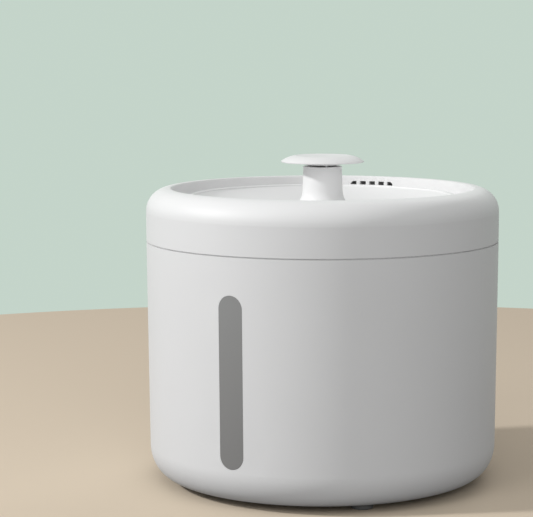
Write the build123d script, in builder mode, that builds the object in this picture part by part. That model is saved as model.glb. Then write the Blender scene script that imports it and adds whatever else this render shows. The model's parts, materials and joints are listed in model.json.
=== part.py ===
from build123d import *
from math import atan2, cos, degrees, hypot, pi, radians, sin, sqrt, tan
import os

# Pet water fountain: a round tank, a cover with a basin ring, a drinking tray with a
# mushroom spout, a filter basket and a submersible pump.
# Millimetres, +Z up. The origin is on the floor, on the fountain's own axis.
# The level window faces -Y and the lead of the pump leaves at +Y.

os.makedirs("parts", exist_ok=True)

# Body
body_radius = 90.0         # outer radius where tank and cover meet
tank_height = 121.0        # underside of the tank to the seam
cover_height = 26.5        # seam to the rim of the basin
draft_angle = 0.5          # degrees, the tank narrows downwards
tank_wall = 2.4
tank_floor = 2.6
corner_width = 12.0        # rounding between the tank's side and its underside
corner_height = 16.0
seam_groove = 0.5          # shadow line round the tank, under the cover
seam_groove_depth = 1.0
seam_chamfer = 0.2         # on the cover's lower edge

# Feet
foot_height = 3.0          # below the tank
foot_radius = 5.5
foot_margin = 0.6          # from a foot to the edge of the flat underside
foot_recess = 1.0
foot_edge = 0.8
foot_count = 4

# Seat of the cover and of the filter basket in the tank's mouth
cover_wall = 2.0
spigot_height = 4.0        # ring on the tank that centres the cover
spigot_wall = 1.5
spigot_gap = 0.3
ledge_depth = 7.5          # below the seam, where the filter basket rests
ledge_width = 5.0
ledge_thickness = 3.5

# Level window
window_width = 13.1
window_bottom = 17.8       # above the tank's underside
window_margin = 18.7       # below the seam
window_gap = 0.1
window_lip = 3.0           # the lens's hidden flange, beyond the slot
gasket_thickness = 1.0
gasket_land = 2.4
lens_flange = 1.4

# Lead outlet at the rear
grommet_width = 7.0
grommet_depth = 6.5        # below the seam
grommet_corner = 1.5
grommet_lip = 0.9
grommet_flange = 1.3
grommet_inset = 0.4        # of its face, inside the tank's surface
fit_gap = 0.1              # round small pieces pushed into place
lead_bore_radius = 1.8

# Basin ring of the cover
shoulder_radius = 11.6
rim_land = 1.2             # flat top between the shoulder and the opening
rim_edge = 0.8
basin_taper = 1.2
moat_depth = 9.0           # rim to the moat's floor
moat_width = 7.8           # from the basin's wall to the tray's lip
moat_thickness = 2.0
tray_seat = 3.7            # width that the tray rests on
moat_hole_radius = 2.0
moat_hole_count = 16
slot_count = 5
slot_pitch = 5.27
slot_width = 3.4
slot_height = 2.6
slot_top = 2.8             # below the rim
slot_corner = 2.0
slot_azimuth = 98.6        # degrees from +X

# Drinking tray
tray_gap = 0.3
lip_wall = 2.0
lip_depth = 3.9            # rim to the lip's top
dish_depth = 14.0          # rim to the dish's floor
dish_flat = 35.0
tray_wall = 2.0
tray_collar_length = 2.2
tray_collar_wall = 2.0
hub_wall = 2.2
hub_length = 5.0

# Spout
stem_top = 10.65           # above the rim
stem_top_radius = 9.85
stem_radius = 10.2
flare_radius = 12.0
stem_foot = 1.0            # edge of the flare
stem_edge = 0.3
spigot_radius = 9.0        # stem below the dish
spigot_length = 10.0
stem_bore = 5.5
stem_seal_depth = 2.2      # below the dish's underside
seal_section = 0.5
seal_groove = 1.0
seal_gap = 0.05
socket_depth = 8.0
running_gap = 0.2

# Cap of the spout
cap_gap = 0.8              # water gap over the stem
cap_neck_radius = 8.85
cap_radius = 21.2
cap_top = 16.15            # above the rim
cap_edge = 13.2            # above the rim
cap_edge_thickness = 0.4
cap_plateau = 14.0
cap_crown = 0.5            # bulge of the slope from the plateau to the edge
cap_dish = 0.9
cap_ridge = 2.0
cap_neck = 0.7
cap_post_radius = 2.0
cap_fin_width = 1.2
cap_post_length = 13.0
cap_lug_radius = 0.8
cap_lug_centre = 6.8       # radius that the lugs stand on
cap_lug_count = 4

# Filter basket and cartridge
basket_flange = 2.0
basket_seat_gap = 0.8
basket_radius = 62.0
basket_wall = 2.0
basket_depth = 23.5        # under the flange's underside
chimney_radius = 9.3
chimney_wall = 1.8
basket_hole_radius = 2.2
basket_hole_pitch = 9.0
basket_hole_margin = 5.0
filter_gap = 0.6
filter_wall = 1.8
filter_floor = 1.6
cotton_thickness = 3.6
carbon_thickness = 5.0
resin_thickness = 4.0
layer_gap = 0.3
grille_thickness = 1.6
spoke_count = 12
spoke_width = 2.4

# Pump
pump_axis = 36.0           # height of the rotor's axis over the floor
pump_rear = 38.0
pump_half_width = 17.0
pump_top = 15.0            # over the rotor's axis
pump_skin = 1.6
pump_edge = 3.0
volute_front = -8.0
volute_rear = 8.0
volute_radius = 14.0
chamber_radius = 11.5
chamber_floor = 2.0
inlet_radius = 6.5
spider_width = 1.4         # arms across the intake, and the ring round the front bush
outlet_bore = 2.9
outlet_radius = 4.0
outlet_top = 64.0          # over the floor
well_radius = 7.3
well_wall = 1.4
well_rear = 30.0
shaft_radius = 1.0
shaft_gap = 0.05
bush_radius = 2.2
bush_length = 2.0
magnet_radius = 6.6
magnet_front = 8.5
magnet_rear = 27.5
hub_radius = 3.0
blade_radius = 9.6
blade_width = 1.2
blade_count = 6
blade_front = -4.6
blade_rear = 3.0
disc_thickness = 1.2
core_front = 13.0
core_rear = 25.0
core_leg = 5.4
core_bridge = 5.0
core_gap = 0.3
coil_wall = 2.6
coil_gap = 0.2
coil_half_width = 8.0
gland_radius = 3.2
gland_length = 5.0
gland_height = 8.0         # over the rotor's axis
slider_travel = 3.5
slider_length = 17.0
slider_height = 7.0
slider_thickness = 1.2
slider_gap = 0.1
slider_rail = 1.2
knob_radius = 1.6
knob_length = 1.2

# Case of the pump
case_centre = 13.0         # behind the fountain's axis
case_room = 2.1            # between the sponge's corners and the case
case_wall = 2.0
case_bottom = 10.0         # over the floor
case_floor = 2.0
case_split = 18.0
case_top = 62.0
case_edge = 4.0
case_slot_count = 14
case_slot_width = 3.0
case_slot_margin = 9.0
riser_radius = 6.0
riser_wall = 1.8
riser_hole_gap = 0.5
riser_bottom = 51.5
riser_engagement = 7.0
sponge_width = 22.0
sponge_thickness = 5.5
sponge_gap = 0.4
sponge_top = 52.0
cup_radius = 7.0
cup_neck_radius = 2.6
cup_inset = 12.0           # from the case's side to a cup's middle
cup_lip = 0.8
cup_button = 1.2
cup_count = 4

# Levels and radii that follow from the sizes above
window_top = tank_height - window_margin
base_z = foot_height
floor_z = base_z + tank_floor
seam_z = base_z + tank_height
rim_z = seam_z + cover_height
corner_z = base_z + corner_height
ledge_z = seam_z - ledge_depth
spigot_outer = body_radius - cover_wall - spigot_gap
spigot_inner = spigot_outer - spigot_wall
ledge_inner = spigot_inner - ledge_width
moat_z = rim_z - moat_depth
shoulder_centre = body_radius - shoulder_radius
opening_radius = shoulder_centre - rim_land
moat_radius = opening_radius - basin_taper
lip_radius = moat_radius - moat_width
moat_opening = lip_radius - tray_seat
moat_hole_centre = (moat_radius + lip_radius) / 2
dish_z = rim_z - dish_depth
lip_z = rim_z - lip_depth
dish_under_z = dish_z - tray_wall
hole_radius = spigot_radius + running_gap
stem_top_z = rim_z + stem_top
stem_bottom_z = dish_z - spigot_length
riser_top_z = stem_bottom_z + riser_engagement
basket_z = ledge_z - basket_depth
basket_flange_radius = spigot_inner - basket_seat_gap
grommet_z = seam_z - grommet_depth / 2
grommet_half = grommet_width / 2 + grommet_lip
grommet_inner_y = sqrt(spigot_inner**2 - grommet_half**2) - fit_gap
grommet_face_y = sqrt(body_radius**2 - grommet_half**2) - grommet_inset
grommet_seat_y = grommet_face_y - grommet_flange
pump_floor_z = case_bottom + case_floor
knob_front = volute_front - slider_gap / 2 - slider_thickness - knob_length
sponge_rear = knob_front - sponge_gap
sponge_front = sponge_rear - sponge_thickness
case_radius = hypot(sponge_width / 2, case_centre - sponge_front) + case_room + case_wall
cup_centre = case_radius - cup_inset
pump_top_z = pump_axis + pump_top
well_outer = well_radius + well_wall


def wall_radius(z):
    """Outer radius of the tank's side at a height over the floor."""
    return body_radius - (seam_z - z) * tan(radians(draft_angle))


flat_radius = wall_radius(corner_z) - corner_width
foot_centre = flat_radius - foot_margin - foot_radius


def ring(inner, outer, bottom, top):
    """Half section of a plain ring, for a sketch in the XZ plane."""
    with Locations(((inner + outer) / 2, (bottom + top) / 2)):
        Rectangle(outer - inner, top - bottom)


def tank_solid(side, floor, top):
    """Solid body of the tank, drawn in by side and floor from its outer surface."""
    corner = wall_radius(corner_z)
    with BuildPart() as body:
        with BuildSketch(Plane.XZ):
            with BuildLine():
                EllipticalCenterArc(
                    (flat_radius, corner_z), corner_width - side, corner_height - floor, start_angle=270
                )
                Polyline(
                    (corner - side, corner_z),
                    (wall_radius(top) - side, top),
                    (0, top),
                    (0, base_z + floor),
                    (flat_radius, base_z + floor),
                )
            make_face()
        revolve(axis=Axis.Z)
    return body.part


def window_outline(growth):
    """Outline of the level window, grown all round; drawn in the XZ plane."""
    height = window_top - window_bottom
    with Locations((0, base_z + (window_top + window_bottom) / 2)):
        SlotOverall(height + 2 * growth, window_width + 2 * growth, rotation=90)


def window_layer(outer, inner, growth):
    """Piece of the tank's wall behind the window, between two depths from its surface."""
    with BuildPart() as layer:
        add(tank_solid(outer, tank_floor, seam_z))
        add(tank_solid(inner, tank_floor, seam_z), mode=Mode.SUBTRACT)
        with BuildSketch(Plane.XZ):
            window_outline(growth)
        extrude(amount=body_radius, mode=Mode.INTERSECT)
    return layer.part


def grommet_outline(growth):
    """Outline of the lead's grommet, from the seam down; drawn in the XZ plane."""
    width = grommet_width + 2 * growth
    depth = grommet_depth + growth
    with Locations((0, seam_z)):
        RectangleRounded(width, 2 * depth, grommet_corner + growth)
    with Locations((0, seam_z + depth / 2)):
        Rectangle(width, depth, mode=Mode.SUBTRACT)


def save(piece, label):
    """Label a finished piece and write it to its own file."""
    piece.label = label
    export_step(piece, f"parts/{label}.step")


# ---------------------------------------------------------------- tank

with BuildPart() as tank_shell:
    add(tank_solid(0, 0, seam_z))
    add(tank_solid(tank_wall, tank_floor, seam_z), mode=Mode.SUBTRACT)
    with BuildSketch(Plane.XZ):
        ring(body_radius - seam_groove_depth, body_radius + fit_gap, seam_z - seam_groove, seam_z)
    revolve(axis=Axis.Z, mode=Mode.SUBTRACT)
    # Ledge under the filter basket, on a sloping underside
    with BuildSketch(Plane.XZ):
        with BuildLine():
            Polyline(
                (wall_radius(ledge_z) - tank_wall / 2, ledge_z),
                (ledge_inner, ledge_z),
                (ledge_inner, ledge_z - ledge_thickness),
                (wall_radius(ledge_z) - tank_wall / 2, ledge_z - ledge_thickness - ledge_width),
                close=True,
            )
        make_face()
    revolve(axis=Axis.Z)
    # Ring that centres the cover
    with BuildSketch(Plane.XZ):
        ring(spigot_inner, spigot_outer, ledge_z, seam_z + spigot_height)
    revolve(axis=Axis.Z)
    # Level window
    with BuildSketch(Plane.XZ):
        window_outline(0)
    extrude(amount=body_radius + tank_wall, mode=Mode.SUBTRACT)
    # Notch for the lead's grommet
    with BuildSketch(Plane.XZ):
        grommet_outline(0)
        with Locations((0, seam_z + spigot_height / 2)):
            Rectangle(grommet_width, spigot_height)
    extrude(amount=-body_radius, mode=Mode.SUBTRACT)
    with BuildSketch(Plane.XZ.offset(-grommet_seat_y)):
        grommet_outline(grommet_lip)
    extrude(amount=-grommet_flange - tank_wall, mode=Mode.SUBTRACT)
    # Recesses for the feet
    with BuildSketch(Plane.XY.offset(base_z)):
        with PolarLocations(foot_centre, foot_count, start_angle=45):
            Circle(foot_radius + fit_gap)
    extrude(amount=foot_recess, mode=Mode.SUBTRACT)
save(tank_shell.part, "tank_shell")

with BuildPart() as window_gasket:
    add(window_layer(tank_wall, tank_wall + gasket_thickness, window_lip))
    with BuildSketch(Plane.XZ):
        window_outline(window_lip - gasket_land)
    extrude(amount=body_radius, mode=Mode.SUBTRACT)
save(window_gasket.part, "window_gasket")

lens_back = tank_wall + gasket_thickness
with BuildPart() as window_lens:
    add(window_layer(0, lens_back, -window_gap))
    add(window_layer(lens_back, lens_back + lens_flange, window_lip))
save(window_lens.part, "window_lens")

for index in range(foot_count):
    angle = radians(45 + index * 360 / foot_count)
    with BuildPart(Plane((foot_centre * cos(angle), foot_centre * sin(angle), 0))) as foot:
        Cylinder(
            foot_radius,
            foot_height + foot_recess,
            align=(Align.CENTER, Align.CENTER, Align.MIN),
        )
        fillet(foot.edges().sort_by(Axis.Z)[0], foot_edge)
    save(foot.part, f"foot_{index + 1}")

grommet_length = body_radius - grommet_inner_y + grommet_flange
with BuildPart() as cable_grommet:
    with BuildSketch(Plane.XZ.offset(-grommet_inner_y)):
        grommet_outline(-fit_gap)
    extrude(amount=grommet_inner_y - grommet_seat_y)
    with BuildSketch(Plane.XZ.offset(-grommet_seat_y)):
        grommet_outline(grommet_lip - fit_gap)
    extrude(amount=grommet_seat_y - grommet_face_y)
    with BuildSketch(Plane.XZ.offset(-grommet_inner_y)):
        grommet_outline(grommet_lip)
    extrude(amount=grommet_flange)
    with BuildSketch(Plane.XZ.offset(-grommet_face_y)):
        with Locations((0, grommet_z)):
            Circle(lead_bore_radius)
    extrude(amount=grommet_length, mode=Mode.SUBTRACT)
save(cable_grommet.part, "cable_grommet")


# ---------------------------------------------------------------- cover

arc_centre_z = rim_z - shoulder_radius
inner_wall_outer = moat_radius + cover_wall
under_wall = opening_radius + cover_wall
under_radius = shoulder_radius - cover_wall
under_z = arc_centre_z + sqrt(under_radius**2 - (under_wall - shoulder_centre) ** 2)
under_angle = degrees(atan2(under_z - arc_centre_z, under_wall - shoulder_centre))

with BuildPart() as top_cover:
    with BuildSketch(Plane.XZ):
        with BuildLine():
            CenterArc((shoulder_centre, arc_centre_z), shoulder_radius, 0, 90)
            Polyline(
                (shoulder_centre, rim_z),
                (opening_radius, rim_z),
                (moat_radius, moat_z),
                (moat_opening, moat_z),
                (moat_opening, moat_z - moat_thickness),
                (inner_wall_outer, moat_z - moat_thickness),
                (under_wall, under_z),
            )
            CenterArc((shoulder_centre, arc_centre_z), under_radius, 0, under_angle)
            Polyline(
                (body_radius - cover_wall, arc_centre_z),
                (body_radius - cover_wall, seam_z),
                (body_radius, seam_z),
                (body_radius, arc_centre_z),
            )
        make_face()
    revolve(axis=Axis.Z)
    chamfer(top_cover.edges().group_by(Axis.Z)[0].sort_by(SortBy.RADIUS)[-1], seam_chamfer)
    fillet(top_cover.edges().group_by(Axis.Z)[-1].sort_by(SortBy.RADIUS)[0], rim_edge)
    # Overflow slots through the basin's wall: one rounded window with upright bars
    slot_plane = Plane.XZ.rotated((0, 0, slot_azimuth + 90))
    group_width = (slot_count - 1) * slot_pitch + slot_width
    with BuildSketch(slot_plane):
        with Locations((0, rim_z - slot_top - slot_height)):
            RectangleRounded(group_width, 2 * slot_height, slot_corner)
        with Locations((0, rim_z - slot_top - 1.5 * slot_height)):
            Rectangle(group_width, slot_height, mode=Mode.SUBTRACT)
        with Locations((0, rim_z - slot_top - slot_height)):
            with GridLocations(slot_pitch, 0, slot_count - 1, 1):
                Rectangle(slot_pitch - slot_width, 2 * slot_height, mode=Mode.SUBTRACT)
    extrude(amount=under_wall + rim_edge, mode=Mode.SUBTRACT)
    # Drain holes in the moat's floor
    with BuildSketch(Plane.XY.offset(moat_z)):
        with PolarLocations(moat_hole_centre, moat_hole_count):
            Circle(moat_hole_radius)
    extrude(amount=-moat_thickness, mode=Mode.SUBTRACT)
save(top_cover.part, "top_cover")


# ---------------------------------------------------------------- drinking tray

lip_round = lip_wall / 2
lip_inner = lip_radius - lip_wall
dish_rise = lip_z - lip_round - dish_z
dish_run = lip_inner - dish_flat
dish_arc = (dish_run**2 + dish_rise**2) / (2 * dish_rise)
collar_outer = moat_opening - tray_gap
collar_inner = collar_outer - tray_collar_wall
under_rise = dish_z + dish_arc - sqrt((dish_arc + tray_wall) ** 2 - (collar_inner - dish_flat) ** 2)
collar_z = moat_z - moat_thickness - tray_collar_length + tray_wall

with BuildPart() as drinking_tray:
    with BuildSketch(Plane.XZ):
        with BuildLine():
            ThreePointArc(
                (lip_radius, lip_z - lip_round),
                (lip_radius - lip_round, lip_z),
                (lip_inner, lip_z - lip_round),
            )
            RadiusArc((lip_inner, lip_z - lip_round), (dish_flat, dish_z), dish_arc)
            Polyline(
                (dish_flat, dish_z),
                (hole_radius, dish_z),
                (hole_radius, dish_under_z - hub_length),
                (hole_radius + hub_wall, dish_under_z - hub_length),
                (hole_radius + hub_wall, dish_under_z),
                (dish_flat, dish_under_z),
            )
            RadiusArc((dish_flat, dish_under_z), (collar_inner, under_rise), -dish_arc - tray_wall)
            Polyline(
                (collar_inner, under_rise),
                (collar_inner, collar_z),
                (collar_outer, collar_z),
                (collar_outer, moat_z),
                (lip_radius, moat_z),
                (lip_radius, lip_z - lip_round),
            )
        make_face()
    revolve(axis=Axis.Z)
save(drinking_tray.part, "drinking_tray")


# ---------------------------------------------------------------- spout

flare_z = dish_z + stem_foot + flare_radius
groove_top = dish_under_z - stem_seal_depth
groove_height = 2 * seal_section + running_gap
groove_radius = spigot_radius - seal_groove
socket_radius = riser_radius + running_gap

with BuildPart() as spout_stem:
    with BuildSketch(Plane.XZ):
        with BuildLine():
            Polyline(
                (stem_radius + flare_radius, dish_z + stem_foot),
                (stem_radius + flare_radius, dish_z),
                (spigot_radius, dish_z),
                (spigot_radius, groove_top),
                (groove_radius, groove_top),
                (groove_radius, groove_top - groove_height),
                (spigot_radius, groove_top - groove_height),
                (spigot_radius, stem_bottom_z),
                (socket_radius, stem_bottom_z),
                (socket_radius, stem_bottom_z + socket_depth),
                (stem_bore, stem_bottom_z + socket_depth),
                (stem_bore, stem_top_z),
                (stem_top_radius, stem_top_z),
                (stem_radius, flare_z),
            )
            CenterArc((stem_radius + flare_radius, flare_z), flare_radius, 180, 90)
        make_face()
    revolve(axis=Axis.Z)
    fillet(spout_stem.edges().group_by(Axis.Z)[-1].sort_by(SortBy.RADIUS)[-1], stem_edge)
save(spout_stem.part, "spout_stem")

with BuildPart() as spout_seal:
    with BuildSketch(Plane.XZ):
        with Locations((groove_radius + seal_section + seal_gap, groove_top - groove_height / 2)):
            Circle(seal_section)
    revolve(axis=Axis.Z)
save(spout_seal.part, "spout_seal")

cap_under_z = stem_top_z + cap_gap
cap_top_z = rim_z + cap_top
cap_edge_z = rim_z + cap_edge

with BuildPart() as spout_cap:
    with BuildSketch(Plane.XZ) as cap_profile:
        with BuildLine():
            RadiusArc(
                (0, cap_top_z - cap_dish),
                (cap_plateau, cap_top_z),
                -(cap_plateau**2 + cap_dish**2) / (2 * cap_dish),
            )
            ThreePointArc(
                (cap_plateau, cap_top_z),
                (
                    (cap_plateau + cap_radius) / 2 + cap_crown / 2,
                    (cap_top_z + cap_edge_z) / 2 + cap_crown,
                ),
                (cap_radius, cap_edge_z),
            )
            Polyline(
                (cap_radius, cap_edge_z),
                (cap_radius - cap_edge_thickness / 2, cap_edge_z - cap_edge_thickness),
                (cap_neck_radius, cap_under_z + cap_neck),
                (cap_neck_radius, cap_under_z),
                (0, cap_under_z),
                (0, cap_top_z - cap_dish),
            )
        make_face()
        fillet(cap_profile.vertices().sort_by(Axis.Y)[-1], cap_ridge)
    revolve(axis=Axis.Z)
    # Post with three fins that centres the cap in the stem
    with BuildSketch(Plane.XY.offset(cap_under_z)):
        Circle(cap_post_radius)
        with PolarLocations((stem_bore - running_gap) / 2, 3):
            Rectangle(stem_bore - running_gap, cap_fin_width)
    extrude(amount=-cap_post_length)
    # Lugs that hold the water gap open
    with BuildSketch(Plane.XY.offset(cap_under_z)):
        with PolarLocations(cap_lug_centre, cap_lug_count, start_angle=45):
            Circle(cap_lug_radius)
    extrude(amount=-cap_gap)
save(spout_cap.part, "spout_cap")


# ---------------------------------------------------------------- filter basket and cartridge

basket_top_z = ledge_z + basket_flange
basket_inner = basket_radius - basket_wall
chimney_inner = chimney_radius - chimney_wall
filter_outer = basket_inner - filter_gap
filter_inner = chimney_radius + filter_gap
filter_z = basket_z + basket_flange
basket_ring_count = int((basket_inner - chimney_radius - 2 * basket_hole_margin) / basket_hole_pitch)
layer_outer = filter_outer - filter_wall - layer_gap
layer_inner = filter_inner + filter_wall + layer_gap
carbon_z = filter_z + filter_floor
resin_z = carbon_z + carbon_thickness
cotton_z = resin_z + resin_thickness + layer_gap
grille_z = cotton_z + cotton_thickness + layer_gap


def spoked_disc(bottom, thickness, inner, outer):
    """Flat ring cut into spokes and two hoops, so that water passes."""
    middle = (inner + outer) / 2
    with BuildPart() as disc:
        with BuildSketch(Plane.XY.offset(bottom)):
            Circle(outer)
            Circle(outer - spoke_width, mode=Mode.SUBTRACT)
            with PolarLocations(outer / 2, spoke_count):
                Rectangle(outer - spoke_width, spoke_width)
            Circle(middle + spoke_width / 2)
            Circle(middle - spoke_width / 2, mode=Mode.SUBTRACT)
            with PolarLocations(middle / 2, spoke_count):
                Rectangle(middle, spoke_width)
            Circle(inner + spoke_width)
            Circle(inner, mode=Mode.SUBTRACT)
        extrude(amount=thickness)
    return disc.part


with BuildPart() as filter_tray:
    with BuildSketch(Plane.XZ):
        ring(basket_inner, basket_flange_radius, ledge_z, basket_top_z)
        ring(basket_inner, basket_radius, basket_z, basket_top_z)
        ring(chimney_inner, basket_radius, basket_z, basket_z + basket_flange)
        ring(chimney_inner, chimney_radius, basket_z, basket_top_z)
    revolve(axis=Axis.Z)
    # Floor holes, ring by ring
    with BuildSketch(Plane.XY.offset(basket_z)):
        for index in range(basket_ring_count):
            radius = chimney_radius + basket_hole_margin + (index + 0.5) * basket_hole_pitch
            with PolarLocations(radius, round(2 * pi * radius / basket_hole_pitch)):
                Circle(basket_hole_radius)
    extrude(amount=basket_flange, mode=Mode.SUBTRACT)
    # Notch that lets the lead past
    with BuildSketch(Plane.XY.offset(ledge_z)):
        with Locations((0, basket_flange_radius)):
            Rectangle(2 * grommet_width, 2 * grommet_width)
    extrude(amount=basket_flange, mode=Mode.SUBTRACT)
save(filter_tray.part, "filter_tray")

with BuildPart() as filter_frame:
    add(spoked_disc(filter_z, filter_floor, filter_inner, filter_outer))
    with BuildSketch(Plane.XZ):
        ring(filter_outer - filter_wall, filter_outer, filter_z, grille_z)
        ring(filter_inner, filter_inner + filter_wall, filter_z, grille_z)
    revolve(axis=Axis.Z)
save(filter_frame.part, "filter_frame")

for label, bottom, thickness in (
    ("filter_carbon", carbon_z, carbon_thickness),
    ("filter_resin", resin_z, resin_thickness),
    ("filter_cotton", cotton_z, cotton_thickness),
):
    with BuildPart() as layer:
        with BuildSketch(Plane.XZ):
            ring(layer_inner, layer_outer, bottom, bottom + thickness)
        revolve(axis=Axis.Z)
    save(layer.part, label)

with BuildPart() as filter_grille:
    add(spoked_disc(grille_z, grille_thickness, filter_inner, filter_outer))
save(filter_grille.part, "filter_grille")


# ---------------------------------------------------------------- pump

pump_back_y = pump_rear - pump_skin
cavity_front = volute_rear + pump_skin
cavity_half = pump_half_width - pump_skin
cavity_bottom = pump_floor_z + pump_skin
cavity_top = pump_top_z - pump_skin
bush_rear_y = well_rear - bush_length


def block(half_width, bottom, top, front, rear):
    """Upright block across the rotor's axis, from front to rear along +Y."""
    with BuildPart() as square_piece:
        with BuildSketch(Plane.XZ.offset(-front)):
            with Locations((0, (bottom + top) / 2)):
                Rectangle(2 * half_width, top - bottom)
        extrude(amount=front - rear)
    return square_piece.part


def drum(radius, front, rear, bore=0.0):
    """Round piece on the rotor's axis, from front to rear along +Y, with a bore."""
    with BuildPart() as round_piece:
        with BuildSketch(Plane.XZ.offset(-front)):
            with Locations((0, pump_axis)):
                Circle(radius)
                if bore:
                    Circle(bore, mode=Mode.SUBTRACT)
        extrude(amount=front - rear)
    return round_piece.part


with BuildPart() as pump_body:
    add(block(pump_half_width, pump_floor_z, pump_top_z, volute_rear, pump_rear))
    fillet(pump_body.edges().filter_by(Axis.Y), pump_edge)
    with BuildSketch(Plane.XZ.offset(-cavity_front)):
        with Locations((0, (cavity_bottom + cavity_top) / 2)):
            Rectangle(2 * cavity_half, cavity_top - cavity_bottom)
    extrude(amount=cavity_front - pump_rear, mode=Mode.SUBTRACT)
    add(drum(well_outer, cavity_front, well_rear + well_wall))
    add(drum(well_radius, volute_rear, well_rear), mode=Mode.SUBTRACT)
save(pump_body.part, "pump_body")

gland_z = pump_axis + gland_height
with BuildPart() as pump_back_plate:
    with BuildSketch(Plane.XZ.offset(-pump_back_y)):
        with Locations((0, (cavity_bottom + cavity_top) / 2)):
            Rectangle(2 * (cavity_half - fit_gap), cavity_top - cavity_bottom - 2 * fit_gap)
        with Locations((0, gland_z)):
            Circle(gland_radius, mode=Mode.SUBTRACT)
    extrude(amount=-pump_skin)
save(pump_back_plate.part, "pump_back_plate")

with BuildPart() as pump_lead_gland:
    with BuildSketch(Plane.XZ.offset(-pump_back_y)):
        with Locations((0, gland_z)):
            Circle(gland_radius)
            Circle(lead_bore_radius, mode=Mode.SUBTRACT)
    extrude(amount=-pump_skin)
    with BuildSketch(Plane.XZ.offset(-pump_rear)):
        with Locations((0, gland_z)):
            Circle(gland_radius + grommet_lip)
            Circle(lead_bore_radius, mode=Mode.SUBTRACT)
    extrude(amount=-gland_length, taper=6)
save(pump_lead_gland.part, "pump_lead_gland")

with BuildPart() as pump_front_cover:
    add(drum(volute_radius, volute_front, volute_rear))
    # Outlet pipe, on the fountain's own axis
    with BuildSketch(Plane.XY.offset(pump_axis)):
        Circle(outlet_radius)
    extrude(amount=outlet_top - pump_axis)
    # Shoulder that the riser stands on
    with BuildSketch(Plane.XY.offset(pump_axis)):
        Circle(riser_radius)
    extrude(amount=riser_bottom - pump_axis)
    add(drum(chamber_radius, volute_front + chamber_floor, volute_rear), mode=Mode.SUBTRACT)
    with BuildSketch(Plane.XY.offset(pump_axis)):
        Circle(outlet_bore)
    extrude(amount=outlet_top - pump_axis, mode=Mode.SUBTRACT)
    # Intake, crossed by the spider that carries the front bush
    with BuildSketch(Plane.XZ.offset(-volute_front)):
        with Locations((0, pump_axis)):
            Circle(inlet_radius)
            with PolarLocations(inlet_radius / 2, 3, start_angle=90):
                Rectangle(inlet_radius, spider_width, mode=Mode.SUBTRACT)
            Circle(bush_radius + spider_width, mode=Mode.SUBTRACT)
            Circle(bush_radius)
    extrude(amount=-chamber_floor, mode=Mode.SUBTRACT)
    # Rails that hold the flow slider
    rail_z = slider_height / 2 + slider_gap
    for side in (-1, 1):
        with BuildSketch(Plane.XZ.offset(-volute_front)):
            with Locations((0, pump_axis + side * (rail_z + slider_rail / 2))):
                Rectangle(slider_length, slider_rail)
        extrude(amount=slider_thickness + slider_gap + slider_rail)
        with BuildSketch(Plane.XZ.offset(-volute_front + slider_thickness + slider_gap)):
            with Locations((0, pump_axis + side * rail_z)):
                Rectangle(slider_length, slider_rail)
        extrude(amount=slider_rail)
save(pump_front_cover.part, "pump_front_cover")

save(drum(bush_radius, volute_front, volute_front + bush_length, shaft_radius), "shaft_bush_front")
save(drum(bush_radius, bush_rear_y, well_rear, shaft_radius), "shaft_bush_rear")
save(drum(shaft_radius, volute_front, well_rear), "rotor_shaft")

save(drum(magnet_radius, magnet_front, magnet_rear, hub_radius), "rotor_magnet")

with BuildPart() as impeller:
    add(drum(hub_radius, blade_front, magnet_rear))
    add(drum(blade_radius, blade_rear, blade_rear + disc_thickness))
    with BuildSketch(Plane.XZ.offset(-blade_front)):
        with Locations((0, pump_axis)):
            with PolarLocations(blade_radius / 2, blade_count):
                Rectangle(blade_radius, blade_width)
            Circle(hub_radius, mode=Mode.SUBTRACT)
    extrude(amount=blade_front - blade_rear)
    add(drum(shaft_radius + shaft_gap, blade_front, magnet_rear), mode=Mode.SUBTRACT)
save(impeller.part, "impeller")

core_inner = well_outer + core_gap
core_outer = core_inner + core_leg
core_bottom = cavity_bottom + coil_wall + 2 * coil_gap
with BuildPart() as stator_core:
    add(block(core_outer, core_bottom, pump_axis + well_radius, core_front, core_rear))
    with BuildSketch(Plane.XZ.offset(-core_front)):
        with Locations((0, (core_bottom + core_bridge + pump_axis + well_radius) / 2)):
            Rectangle(2 * core_inner, pump_axis + well_radius - core_bottom - core_bridge)
    extrude(amount=core_front - core_rear, mode=Mode.SUBTRACT)
save(stator_core.part, "stator_core")

coil_inner = core_bridge / 2 + coil_gap
coil_middle = core_bottom + core_bridge / 2
with BuildPart() as stator_coil:
    add(
        block(
            coil_half_width,
            coil_middle - coil_inner - coil_wall,
            coil_middle + coil_inner + coil_wall,
            core_front - coil_gap - coil_wall,
            core_rear + coil_gap + coil_wall,
        )
    )
    with BuildSketch(Plane.YZ.offset(-coil_half_width)):
        with Locations(((core_front + core_rear) / 2, coil_middle)):
            Rectangle(core_rear - core_front + 2 * coil_gap, 2 * coil_inner)
    extrude(amount=2 * coil_half_width, mode=Mode.SUBTRACT)
save(stator_coil.part, "stator_coil")

slider_front = volute_front - slider_gap / 2
with BuildPart() as flow_slider:
    with BuildSketch(Plane.XZ.offset(-slider_front)):
        with Locations((0, pump_axis)):
            Rectangle(slider_length - 2 * slider_travel, slider_height)
    extrude(amount=slider_thickness)
    with BuildSketch(Plane.XZ.offset(-slider_front + slider_thickness)):
        with Locations((0, pump_axis)):
            Circle(knob_radius)
    extrude(amount=knob_length)
save(flow_slider.part, "flow_slider")


# ---------------------------------------------------------------- case of the pump

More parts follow.
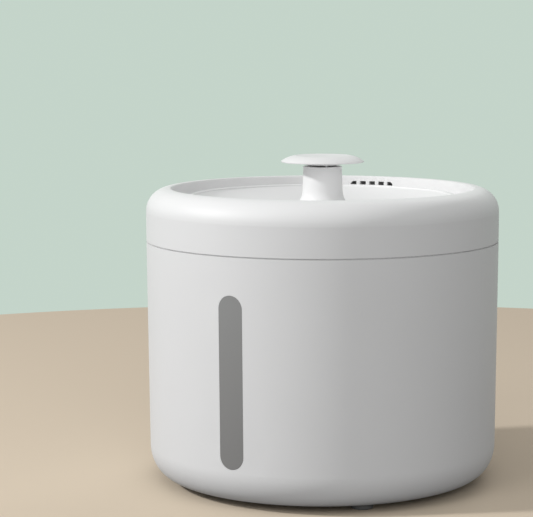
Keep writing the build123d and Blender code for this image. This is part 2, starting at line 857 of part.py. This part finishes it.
case_plane = Plane((0, case_centre, 0))
with BuildPart() as pump_case_base:
    with BuildSketch(case_plane.offset(case_bottom)):
        Circle(case_radius)
    extrude(amount=case_split - case_bottom)
    with BuildSketch(case_plane.offset(pump_floor_z)):
        Circle(case_radius - case_wall)
    extrude(amount=case_split - pump_floor_z, mode=Mode.SUBTRACT)
    # Slotted floor, clear of the suction cups' necks
    with BuildSketch(case_plane.offset(case_bottom)):
        with PolarLocations(0, cup_count):
            with Locations((cup_centre / 2, 0)):
                SlotOverall(cup_centre, case_slot_width)
        with PolarLocations(cup_centre, cup_count, start_angle=45):
            Circle(cup_neck_radius + running_gap)
    extrude(amount=case_floor, mode=Mode.SUBTRACT)
save(pump_case_base.part, "pump_case_base")

with BuildPart() as pump_case_lid:
    with BuildSketch(case_plane.offset(case_split)):
        Circle(case_radius)
    extrude(amount=case_top - case_split)
    fillet(pump_case_lid.edges().group_by(Axis.Z)[-1], case_edge)
    with BuildSketch(case_plane.offset(case_split)):
        Circle(case_radius - case_wall)
    extrude(amount=case_top - case_split - case_wall, mode=Mode.SUBTRACT)
    with BuildSketch(Plane.XY.offset(case_top - case_wall)):
        Circle(riser_radius + riser_hole_gap)
    extrude(amount=case_wall, mode=Mode.SUBTRACT)
    # Upright intake slots all round
    slot_length = case_top - case_split - 2 * case_slot_margin
    for index in range(case_slot_count):
        angle = 2 * pi * index / case_slot_count
        outward = Plane(
            (0, case_centre, (case_top + case_split) / 2),
            x_dir=(-sin(angle), cos(angle), 0),
            z_dir=(cos(angle), sin(angle), 0),
        )
        with BuildSketch(outward):
            SlotOverall(slot_length, case_slot_width, rotation=90)
        extrude(amount=case_radius + case_wall, mode=Mode.SUBTRACT)
save(pump_case_lid.part, "pump_case_lid")

with BuildPart() as riser_tube:
    with BuildSketch(Plane.XY.offset(riser_bottom)):
        Circle(riser_radius)
        Circle(riser_radius - riser_wall, mode=Mode.SUBTRACT)
    extrude(amount=riser_top_z - riser_bottom)
save(riser_tube.part, "riser_tube")

sponge_bottom = pump_floor_z + sponge_gap
save(block(sponge_width / 2, sponge_bottom, sponge_top, sponge_front, sponge_rear), "prefilter_sponge")

for index in range(cup_count):
    angle = radians(45 + index * 360 / cup_count)
    centre = (cup_centre * cos(angle), case_centre + cup_centre * sin(angle))
    with BuildPart() as suction_cup:
        with BuildSketch(Plane.XZ):
            with BuildLine():
                Polyline(
                    (cup_radius, floor_z),
                    (cup_radius, floor_z + cup_lip),
                    (cup_neck_radius, case_bottom),
                    (cup_neck_radius, pump_floor_z),
                    (0, pump_floor_z),
                    (0, floor_z + cup_button),
                    (cup_radius - cup_lip, floor_z),
                    (cup_radius, floor_z),
                )
            make_face()
        revolve(axis=Axis.Z)
    save(suction_cup.part.moved(Location((*centre, 0))), f"suction_cup_{index + 1}")
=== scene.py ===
import json
import math

import bmesh
import bpy
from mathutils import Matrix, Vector, noise


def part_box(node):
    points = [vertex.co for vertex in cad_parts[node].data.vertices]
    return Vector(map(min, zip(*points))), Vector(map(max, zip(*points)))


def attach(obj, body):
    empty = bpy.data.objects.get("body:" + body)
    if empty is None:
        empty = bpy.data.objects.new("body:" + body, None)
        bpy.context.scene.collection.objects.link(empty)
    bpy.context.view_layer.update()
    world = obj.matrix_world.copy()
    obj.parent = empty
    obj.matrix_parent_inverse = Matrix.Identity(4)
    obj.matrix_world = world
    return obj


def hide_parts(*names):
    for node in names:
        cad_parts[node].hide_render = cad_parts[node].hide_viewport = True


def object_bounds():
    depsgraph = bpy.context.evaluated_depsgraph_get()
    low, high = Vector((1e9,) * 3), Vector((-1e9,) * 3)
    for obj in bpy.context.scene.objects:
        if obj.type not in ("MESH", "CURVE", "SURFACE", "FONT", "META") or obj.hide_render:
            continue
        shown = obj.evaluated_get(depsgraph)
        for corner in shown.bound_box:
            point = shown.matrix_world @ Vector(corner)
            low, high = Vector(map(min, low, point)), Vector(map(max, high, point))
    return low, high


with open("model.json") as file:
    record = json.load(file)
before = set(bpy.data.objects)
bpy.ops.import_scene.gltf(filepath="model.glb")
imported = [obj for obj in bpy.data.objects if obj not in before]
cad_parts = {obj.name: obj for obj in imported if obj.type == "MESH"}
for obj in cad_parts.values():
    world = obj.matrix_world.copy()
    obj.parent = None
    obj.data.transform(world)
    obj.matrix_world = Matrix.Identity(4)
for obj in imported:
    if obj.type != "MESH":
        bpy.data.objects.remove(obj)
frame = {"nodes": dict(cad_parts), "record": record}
cad_low, cad_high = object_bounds()

# The photograph's frame and its camera
IMAGE_WIDTH = 533
SENSOR = 36.0
FOCAL_PIXELS = 1889.4
CAMERA_AZIMUTH = math.radians(29.3)
CAMERA_DISTANCE = 0.9641
CAMERA_HEIGHT = 0.2296
CAMERA_PITCH = math.radians(7.346)
SHIFT_RIGHT_PIXELS = -56.07
SHIFT_UP_PIXELS = 16.04


def make_camera():
    """Camera at the photograph's place, looking at the fountain from the right of its window."""
    data = bpy.data.cameras.new("camera")
    data.sensor_width = SENSOR
    data.sensor_fit = "HORIZONTAL"
    data.lens = FOCAL_PIXELS * SENSOR / IMAGE_WIDTH
    data.shift_x = SHIFT_RIGHT_PIXELS / IMAGE_WIDTH
    data.shift_y = SHIFT_UP_PIXELS / IMAGE_WIDTH
    data.clip_start = 0.01
    data.clip_end = 100.0
    camera = bpy.data.objects.new("camera", data)
    camera.location = (
        CAMERA_DISTANCE * math.sin(CAMERA_AZIMUTH),
        -CAMERA_DISTANCE * math.cos(CAMERA_AZIMUTH),
        CAMERA_HEIGHT,
    )
    camera.rotation_euler = (math.pi / 2 - CAMERA_PITCH, 0.0, CAMERA_AZIMUTH)
    bpy.context.scene.collection.objects.link(camera)
    bpy.context.scene.camera = camera


# ---------------------------------------------------------------- light and stage

# Each lamp: name, degrees left of the camera's line, degrees up, reach, width, power
LAMPS = (
    ("key", 79.0, 33.0, 2.2, 0.18, 27.0),
    ("left_fill", 40.0, 35.0, 2.2, 0.90, 4.0),
    ("front_fill", -5.0, 22.0, 2.2, 1.20, 8.0),
    ("rear_fill", -155.0, 35.0, 2.4, 1.20, 6.0),
    ("overhead", 20.0, 66.0, 2.0, 1.20, 3.5),
)
AMBIENT = 0.33
BACKDROP_COLOUR = (0.555, 0.66, 0.59)
FLOOR_COLOUR = (0.69, 0.59, 0.465)
FLOOR_BOUNCE = (0.22, 0.22, 0.22)
FLOOR_RADIUS = 0.62
FLOOR_SIDES = 256


def make_light():
    """Soft studio lamps, each facing the middle of the fountain."""
    middle = (cad_low + cad_high) / 2
    for name, left, rise, reach, width, power in LAMPS:
        turn, up = CAMERA_AZIMUTH - math.radians(left), math.radians(rise)
        towards = Vector(
            (math.sin(turn) * math.cos(up), -math.cos(turn) * math.cos(up), math.sin(up))
        )
        lamp = bpy.data.lights.new(name, "AREA")
        lamp.shape = "DISK"
        lamp.size = width
        lamp.energy = power
        holder = bpy.data.objects.new(name, lamp)
        holder.location = middle + towards * reach
        holder.rotation_euler = towards.to_track_quat("Z", "Y").to_euler()
        bpy.context.scene.collection.objects.link(holder)


def seen_directly(nodes, links):
    """1 for the rays that show a surface or the background: camera, mirror and clear rays."""
    path = nodes.new("ShaderNodeLightPath")
    total = path.outputs["Is Camera Ray"]
    for kind in ("Is Glossy Ray", "Is Transmission Ray"):
        step = nodes.new("ShaderNodeMath")
        step.operation = "MAXIMUM"
        links.new(total, step.inputs[0])
        links.new(path.outputs[kind], step.inputs[1])
        total = step.outputs["Value"]
    return total


def make_world():
    """Neutral ambient light, and a plain pale green backdrop where the background is seen."""
    world = bpy.data.worlds.new("studio")
    bpy.context.scene.world = world
    world.use_nodes = True
    nodes, links = world.node_tree.nodes, world.node_tree.links
    nodes.clear()
    output = nodes.new("ShaderNodeOutputWorld")
    mix = nodes.new("ShaderNodeMixShader")
    links.new(seen_directly(nodes, links), mix.inputs["Fac"])
    for slot, colour, strength in ((1, (1.0, 1.0, 1.0), AMBIENT), (2, BACKDROP_COLOUR, 1.0)):
        light = nodes.new("ShaderNodeBackground")
        light.inputs["Color"].default_value = (*colour, 1.0)
        light.inputs["Strength"].default_value = strength
        links.new(light.outputs["Background"], mix.inputs[slot])
    links.new(mix.outputs["Shader"], output.inputs["Surface"])


def make_floor():
    """Plain pale round floor, whose far edge lies where the photograph's floor ends."""
    shape = bmesh.new()
    bmesh.ops.create_circle(shape, cap_ends=True, segments=FLOOR_SIDES, radius=FLOOR_RADIUS)
    data = bpy.data.meshes.new("floor")
    shape.to_mesh(data)
    shape.free()
    floor = bpy.data.objects.new("floor", data)
    bpy.context.scene.collection.objects.link(floor)
    material = bpy.data.materials.new("floor_pale")
    material.use_nodes = True
    nodes, links = material.node_tree.nodes, material.node_tree.links
    nodes.clear()
    output = nodes.new("ShaderNodeOutputMaterial")
    mix = nodes.new("ShaderNodeMixShader")
    links.new(seen_directly(nodes, links), mix.inputs["Fac"])
    for slot, colour in ((1, FLOOR_BOUNCE), (2, FLOOR_COLOUR)):
        shader = nodes.new("ShaderNodeBsdfDiffuse")
        shader.inputs["Color"].default_value = (*colour, 1.0)
        links.new(shader.outputs["BSDF"], mix.inputs[slot])
    links.new(mix.outputs["Shader"], output.inputs["Surface"])
    data.materials.append(material)


# ---------------------------------------------------------------- materials


class Finish:
    """A node material under construction: a principled shader fed by object-space textures."""

    def __init__(self, name, colour, roughness):
        self.material = bpy.data.materials.new(name)
        self.material.use_nodes = True
        self.nodes = self.material.node_tree.nodes
        self.links = self.material.node_tree.links
        self.shader = self.nodes["Principled BSDF"]
        self.set("Base Color", (*colour, 1.0))
        self.set("Roughness", roughness)
        self.place = self.nodes.new("ShaderNodeTexCoord").outputs["Object"]
        self.normal = None

    def set(self, socket, value):
        self.shader.inputs[socket].default_value = value
        return self

    def noise(self, scale, detail=2.0, roughness=0.5):
        node = self.nodes.new("ShaderNodeTexNoise")
        node.inputs["Scale"].default_value = scale
        node.inputs["Detail"].default_value = detail
        node.inputs["Roughness"].default_value = roughness
        self.links.new(self.place, node.inputs["Vector"])
        return node.outputs["Fac"]

    def cells(self, scale):
        node = self.nodes.new("ShaderNodeTexVoronoi")
        node.inputs["Scale"].default_value = scale
        self.links.new(self.place, node.inputs["Vector"])
        return node.outputs["Distance"]

    def tone(self, source, low, high, dark, light):
        """Colours the surface from dark to light as the source goes from low to high."""
        ramp = self.nodes.new("ShaderNodeValToRGB")
        ramp.color_ramp.elements[0].position = low
        ramp.color_ramp.elements[0].color = (*dark, 1.0)
        ramp.color_ramp.elements[1].position = high
        ramp.color_ramp.elements[1].color = (*light, 1.0)
        self.links.new(source, ramp.inputs["Fac"])
        self.links.new(ramp.outputs["Color"], self.shader.inputs["Base Color"])

    def gloss(self, source, low, high):
        """Varies the roughness between low and high with the source."""
        node = self.nodes.new("ShaderNodeMapRange")
        node.inputs["To Min"].default_value = low
        node.inputs["To Max"].default_value = high
        self.links.new(source, node.inputs["Value"])
        self.links.new(node.outputs["Result"], self.shader.inputs["Roughness"])

    def bump(self, source, distance, strength=0.5):
        """Adds relief of the given depth in metres; several calls stack."""
        node = self.nodes.new("ShaderNodeBump")
        node.inputs["Strength"].default_value = strength
        node.inputs["Distance"].default_value = distance
        self.links.new(source, node.inputs["Height"])
        if self.normal:
            self.links.new(self.normal, node.inputs["Normal"])
        self.normal = node.outputs["Normal"]
        self.links.new(self.normal, self.shader.inputs["Normal"])


def scaled(colour, factor):
    return tuple(min(1.0, channel * factor) for channel in colour)


# Scales of the textures that the plastics share
CLOUD_SCALE = 14.0
GLOSS_SCALE = 60.0
GRAIN_SCALE = 2600.0


def moulded(name, colour, roughness, grain=0.00002):
    """Injection-moulded plastic: faint flow clouds, a fine eroded texture and uneven gloss."""
    finish = Finish(name, colour, roughness)
    clouds = finish.noise(CLOUD_SCALE, 3.0)
    finish.tone(clouds, 0.3, 0.7, scaled(colour, 0.985), scaled(colour, 1.01))
    finish.gloss(finish.noise(GLOSS_SCALE, 4.0), roughness - 0.05, roughness + 0.05)
    finish.bump(finish.noise(GRAIN_SCALE), grain, 0.4)
    return finish


WHITE = (0.832, 0.83, 0.832)
INNER_WHITE = (0.78, 0.80, 0.79)
WINDOW_GREY = (0.265, 0.265, 0.265)
WINDOW_FADE = (0.02, 0.10)         # heights between which the window grows lighter
RUBBER_GREY = (0.16, 0.16, 0.16)
SILICONE = (0.62, 0.65, 0.65)
PUMP_BLACK = (0.018, 0.018, 0.020)
ROTOR_BLUE = (0.05, 0.20, 0.45)
FERRITE = (0.035, 0.035, 0.038)
CERAMIC = (0.80, 0.79, 0.75)
STEEL = (0.34, 0.34, 0.35)
COPPER = (0.60, 0.23, 0.09)
CARBON = (0.012, 0.012, 0.012)
RESIN = (0.52, 0.24, 0.05)
COTTON = (0.80, 0.81, 0.80)
SPONGE = (0.028, 0.028, 0.030)


def white_shell():
    return moulded("white_shell", WHITE, 0.52)


def white_inner():
    return moulded("white_inner", INNER_WHITE, 0.5)


def window_grey():
    """Smoked lens, a little darker towards the foot."""
    finish = Finish("window_grey", WINDOW_GREY, 0.3)
    split = finish.nodes.new("ShaderNodeSeparateXYZ")
    finish.links.new(finish.place, split.inputs["Vector"])
    rise = finish.nodes.new("ShaderNodeMapRange")
    rise.inputs["From Min"].default_value, rise.inputs["From Max"].default_value = WINDOW_FADE
    finish.links.new(split.outputs["Z"], rise.inputs["Value"])
    dark, light = scaled(WINDOW_GREY, 0.9), scaled(WINDOW_GREY, 1.12)
    finish.tone(rise.outputs["Result"], 0.0, 1.0, dark, light)
    finish.gloss(finish.noise(GLOSS_SCALE, 4.0), 0.27, 0.35)
    finish.bump(finish.noise(GRAIN_SCALE), 0.00001, 0.3)
    return finish


def rubber_grey():
    finish = Finish("rubber_grey", RUBBER_GREY, 0.75)
    dark, light = scaled(RUBBER_GREY, 0.85), scaled(RUBBER_GREY, 1.1)
    finish.tone(finish.noise(40.0, 4.0), 0.3, 0.7, dark, light)
    finish.bump(finish.noise(1800.0, 3.0), 0.00004, 0.6)
    return finish


def rubber_clear():
    finish = Finish("rubber_clear", SILICONE, 0.35)
    finish.tone(finish.noise(25.0), 0.3, 0.7, scaled(SILICONE, 0.95), SILICONE)
    finish.set("Transmission Weight", 0.35)
    finish.bump(finish.noise(900.0), 0.00003, 0.4)
    return finish


def pump_plastic():
    return moulded("pump_plastic", PUMP_BLACK, 0.45, 0.00003)


def rotor_blue():
    return moulded("rotor_blue", ROTOR_BLUE, 0.4)


def ferrite():
    finish = Finish("ferrite", FERRITE, 0.4)
    finish.tone(finish.noise(500.0, 4.0), 0.35, 0.65, scaled(FERRITE, 0.7), scaled(FERRITE, 1.5))
    finish.bump(finish.noise(1500.0), 0.00002)
    return finish


def shaft_white():
    finish = Finish("shaft_white", CERAMIC, 0.18)
    finish.tone(finish.noise(80.0), 0.3, 0.7, scaled(CERAMIC, 0.96), CERAMIC)
    return finish


def steel_lamination():
    """Stacked sheets, seen as fine lines across the rotor's axis."""
    finish = Finish("steel_lamination", STEEL, 0.38).set("Metallic", 1.0)
    sheets = finish.nodes.new("ShaderNodeTexWave")
    sheets.bands_direction = "Y"
    sheets.inputs["Scale"].default_value = 320.0
    finish.links.new(finish.place, sheets.inputs["Vector"])
    finish.tone(sheets.outputs["Fac"], 0.05, 0.5, scaled(STEEL, 0.45), STEEL)
    finish.bump(sheets.outputs["Fac"], 0.0001)
    return finish


def copper_winding():
    finish = Finish("copper_winding", COPPER, 0.28).set("Metallic", 1.0)
    finish.set("Coat Weight", 0.6)
    finish.tone(finish.noise(120.0), 0.3, 0.7, scaled(COPPER, 0.85), COPPER)
    return finish


def carbon():
    finish = Finish("carbon", CARBON, 0.6)
    grains = finish.cells(700.0)
    finish.tone(grains, 0.1, 0.7, scaled(CARBON, 0.5), scaled(CARBON, 2.4))
    finish.bump(grains, 0.0006, 0.8)
    return finish


def resin():
    finish = Finish("resin", RESIN, 0.3)
    beads = finish.cells(1100.0)
    finish.tone(beads, 0.1, 0.8, RESIN, scaled(RESIN, 0.45))
    finish.bump(beads, 0.0004, 0.8)
    return finish


def cotton():
    finish = Finish("cotton", COTTON, 0.95).set("Sheen Weight", 0.4)
    finish.tone(finish.noise(260.0, 8.0, 0.7), 0.3, 0.7, scaled(COTTON, 0.82), COTTON)
    finish.bump(finish.noise(1400.0, 10.0, 0.75), 0.0005, 0.8)
    return finish


def sponge():
    finish = Finish("sponge", SPONGE, 0.9).set("Sheen Weight", 0.2)
    pores = finish.cells(520.0)
    # The pores are darker towards their middles, where the bump sinks deepest: painted shade in the
    # pore hollows.
    finish.tone(pores, 0.1, 0.6, scaled(SPONGE, 0.3), scaled(SPONGE, 1.8))
    finish.bump(pores, 0.0008, 1.0)
    return finish


# One finish for each material slot of the record, by its name
FINISHES = (
    white_shell,
    white_inner,
    window_grey,
    rubber_grey,
    rubber_clear,
    pump_plastic,
    rotor_blue,
    ferrite,
    shaft_white,
    steel_lamination,
    copper_winding,
    carbon,
    resin,
    cotton,
    sponge,
)


def dress_nodes(materials):
    """Gives every CAD node the finish of its slot in the record."""
    for entry in frame["record"]["subparts"]:
        for slot in frame["nodes"][entry["node"]].material_slots:
            slot.material = materials[entry["material_slot"]]


# ---------------------------------------------------------------- modelled pieces

CARTRIDGE_HOLE = 0.0120            # inner radius of the filter's layers
SOFT_CLEARANCE = 0.0001            # between a layer and its CAD box


def link_mesh(name, grid, material, closed_ends=False):
    """Object from a grid of points. Each row is a closed loop, joined to the next row.

    The last row joins the first one, or both are capped where closed_ends is set.
    """
    mesh = bmesh.new()
    rows = [[mesh.verts.new(point) for point in row] for row in grid]
    for row, following in zip(rows, rows[1:] if closed_ends else rows[1:] + rows[:1]):
        count = len(row)
        for index in range(count):
            after = (index + 1) % count
            mesh.faces.new((row[index], row[after], following[after], following[index]))
    if closed_ends:
        mesh.faces.new(list(reversed(rows[0])))
        mesh.faces.new(rows[-1])
    bmesh.ops.recalc_face_normals(mesh, faces=mesh.faces)
    data = bpy.data.meshes.new(name)
    mesh.to_mesh(data)
    mesh.free()
    for polygon in data.polygons:
        polygon.use_smooth = True
    data.materials.append(material)
    piece = bpy.data.objects.new(name, data)
    bpy.context.scene.collection.objects.link(piece)
    return piece


def rounded(turn, power):
    """Point of a superellipse of radius one: 2 is a circle, higher powers are squarer."""
    across, up = math.cos(turn), math.sin(turn)
    return (
        math.copysign(abs(across) ** (2 / power), across),
        math.copysign(abs(up) ** (2 / power), up),
    )


def cell_relief(point, size):
    """0 at the middle of a cell and about 1 on its border, for lumps and pores."""
    distances = noise.voronoi(point / size)[0]
    return min(1.0, distances[0] / max(distances[1], 1e-6))


def filter_layer(node, power, steps, turns, relief):
    """Ring-shaped filter layer: squarish section, with its surface moved in by relief(point)."""
    low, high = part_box(node)
    inner, outer = CARTRIDGE_HOLE, high[0]
    middle, half_width = (inner + outer) / 2, (outer - inner) / 2 - SOFT_CLEARANCE
    height, half_height = (low[2] + high[2]) / 2, (high[2] - low[2]) / 2 - SOFT_CLEARANCE
    thickness = 2 * half_height
    grid = []
    for turn in range(turns):
        angle = 2 * math.pi * turn / turns
        outward = Vector((math.cos(angle), math.sin(angle), 0.0))
        row = []
        for step in range(steps):
            across, up = rounded(2 * math.pi * step / steps, power)
            rise = Vector((0, 0, height + half_height * up))
            point = outward * (middle + half_width * across) + rise
            inwards = outward * -across * thickness + Vector((0, 0, -up * thickness))
            row.append(point + inwards * relief(point))
        grid.append(row)
    return grid


def add_piece(piece, node, body):
    """Puts a modelled piece in the place of its CAD node."""
    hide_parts(node)
    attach(piece, body)


# The felt's lumps and its fibres: scale, and depth as a share of the pad's thickness
FELT_RELIEF = ((160, 0.10), (900, 0.05))


def make_cotton(materials):
    """Felt pad with rounded edges, soft lumps and a fibrous surface."""
    def relief(point):
        return sum(depth * (0.5 + 0.5 * noise.noise(point * scale)) for scale, depth in FELT_RELIEF)

    grid = filter_layer("filter_cotton", power=5, steps=96, turns=240, relief=relief)
    pad = link_mesh("felt_pad", grid, materials["cotton"])
    add_piece(pad, "filter_cotton", "filter")


# Each bed: CAD node, piece, material slot, size of a grain, and its relief as a share
BEDS = (
    ("filter_carbon", "carbon_granules", "carbon", 0.0022, 0.16),
    ("filter_resin", "resin_beads", "resin", 0.0014, 0.14),
)


def make_granules(materials):
    """Beds of carbon granules and of resin beads, with a lumpy surface."""
    for node, name, slot, size, depth in BEDS:
        def relief(point, size=size, depth=depth):
            return depth * cell_relief(point, size)

        grid = filter_layer(node, power=9, steps=140, turns=300, relief=relief)
        bed = link_mesh(name, grid, materials[slot])
        add_piece(bed, node, "filter")


SPONGE_STEP = 0.0007               # between two rows of points
SPONGE_ROW = 132                   # points in a row
SPONGE_SECTION = 7                 # power of its squarish section
SPONGE_END = 0.55                  # size of its end faces, beside its middle
SPONGE_RISE_POWER = 24             # of its rounded ends, along its height
SPONGE_PINCH_POWER = 6             # and across it
SPONGE_PORE = 0.0016
SPONGE_PORE_DEPTH = 0.0005


def make_sponge(materials):
    """Block of open foam with rounded edges and pores."""
    low, high = (Vector(corner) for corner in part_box("prefilter_sponge"))
    middle, half = (low + high) / 2, (high - low) / 2
    rows = round(2 * half.z / SPONGE_STEP)
    grid = []
    for level in range(rows + 1):
        rise = -1 + 2 * level / rows
        rounding = (1 - abs(rise) ** SPONGE_RISE_POWER) ** (1 / SPONGE_PINCH_POWER)
        pinch = max(SPONGE_END, rounding)
        row = []
        for step in range(SPONGE_ROW):
            across, deep = rounded(2 * math.pi * step / SPONGE_ROW, SPONGE_SECTION)
            offset = Vector((across * half.x * pinch, deep * half.y * pinch, rise * half.z))
            point = middle + offset
            inwards = Vector((-across, -deep, 0.0)) * SPONGE_PORE_DEPTH
            row.append(point + inwards * cell_relief(point, SPONGE_PORE))
        grid.append(row)
    foam = link_mesh("foam_block", grid, materials["sponge"], closed_ends=True)
    add_piece(foam, "prefilter_sponge", "pump")


WIRE_RADIUS = 0.00036
WIRE_PITCH = 2.1 * WIRE_RADIUS
WIRE_LAYERS = 3
WIRE_CORNERS = 28                  # points in a turn
WIRE_SECTION = 6                   # power of a turn's squarish outline


def make_winding(materials):
    """Stator coil: layers of enamelled wire wound along X round the core's bridge."""
    low, high = (Vector(corner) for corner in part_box("stator_coil"))
    middle, half = (low + high) / 2, (high - low) / 2
    curve = bpy.data.curves.new("winding", "CURVE")
    curve.dimensions = "3D"
    curve.bevel_depth = WIRE_RADIUS
    curve.bevel_resolution = 2
    count = int((2 * half.x - 2 * WIRE_RADIUS) / WIRE_PITCH) * WIRE_CORNERS
    for layer in range(WIRE_LAYERS):
        inset = WIRE_RADIUS + layer * WIRE_PITCH
        spline = curve.splines.new("POLY")
        spline.points.add(count - 1)
        for index in range(count):
            along = low.x + WIRE_RADIUS + WIRE_PITCH * index / WIRE_CORNERS
            across, up = rounded(2 * math.pi * index / WIRE_CORNERS, WIRE_SECTION)
            spline.points[index].co = (
                along,
                middle.y + across * (half.y - inset),
                middle.z + up * (half.z - inset),
                1.0,
            )
    holder = bpy.data.objects.new("winding_curve", curve)
    mesh = bpy.data.meshes.new_from_object(holder)
    bpy.data.objects.remove(holder)
    bpy.data.curves.remove(curve)
    for polygon in mesh.polygons:
        polygon.use_smooth = True
    mesh.materials.clear()
    mesh.materials.append(materials["copper_winding"])
    winding = bpy.data.objects.new("coil_winding", mesh)
    bpy.context.scene.collection.objects.link(winding)
    add_piece(winding, "stator_coil", "pump")


bpy.context.scene.view_settings.view_transform = "Standard"
make_camera()
make_light()
make_world()
make_floor()
materials = {make.__name__: make().material for make in FINISHES}
dress_nodes(materials)
make_cotton(materials)
make_granules(materials)
make_sponge(materials)
make_winding(materials)
